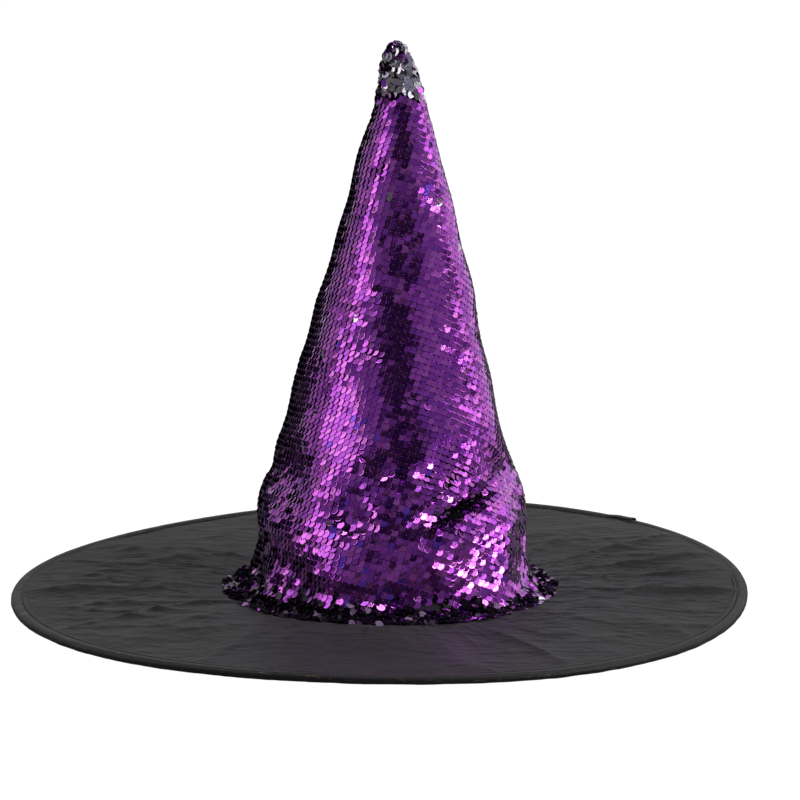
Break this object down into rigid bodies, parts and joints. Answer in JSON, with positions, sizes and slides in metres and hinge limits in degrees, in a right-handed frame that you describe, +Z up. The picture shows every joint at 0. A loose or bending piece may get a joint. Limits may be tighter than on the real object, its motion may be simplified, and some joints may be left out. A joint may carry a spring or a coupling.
{
  "type": "witch hat",
  "caption": "Tall soft cone hat of reversible sequin fabric on a flat round fabric brim with a sprung wire edge; the cone's tip folds.",
  "frame": {"origin": "on the surface the hat stands on, under the middle of the brim's bounding box", "axes": "+Z up through the crown, +X to the right and -Y towards the viewer, as the hat is seen from the front; the crown's seam is at the back, +Y"},
  "size_m": [0.418, 0.418, 0.314],
  "materials": {
    "sequin_fabric": "metallic purple flip sequins on black mesh",
    "sequin_reverse": "the sequins' silver and black reverse",
    "lining": "matt black non-woven",
    "ribbon": "black grosgrain ribbon",
    "thread": "black polyester thread",
    "label": "blank white satin",
    "taffeta": "creased black taffeta with a soft sheen",
    "interlining": "grey needled interlining",
    "hoop_steel": "bright spring wire",
    "binding": "black bias binding"
  },
  "bodies": {
    "crown_and_brim": {"crown_sequin_fabric": "sequin_fabric", "crown_fold_zone": "sequin_fabric", "crown_lining": "lining", "crown_seam_tape": "ribbon", "sweatband": "ribbon", "sweatband_thread": "thread", "blank_label": "label", "brim_top_fabric": "taffeta", "brim_interlining": "interlining", "brim_bottom_fabric": "taffeta", "brim_hoop_wire": "hoop_steel", "brim_hoop_ferrule": "hoop_steel", "edge_binding": "binding", "edge_binding_lap": "binding", "binding_top_thread": "thread", "binding_bobbin_thread": "thread", "crown_seam_thread": "thread"},
    "tip": {"tip_sequin_fabric": "sequin_reverse", "tip_lining": "lining"}
  },
  "joints": [
    {"name": "tip_fold", "type": "hinge", "parent": "crown_and_brim", "child": "tip", "pos_m": [0.0117, 0, 0.278], "axis": [1, 0, 0], "range_deg": [-60, 60], "deforming": ["crown_fold_zone"]}
  ]
}
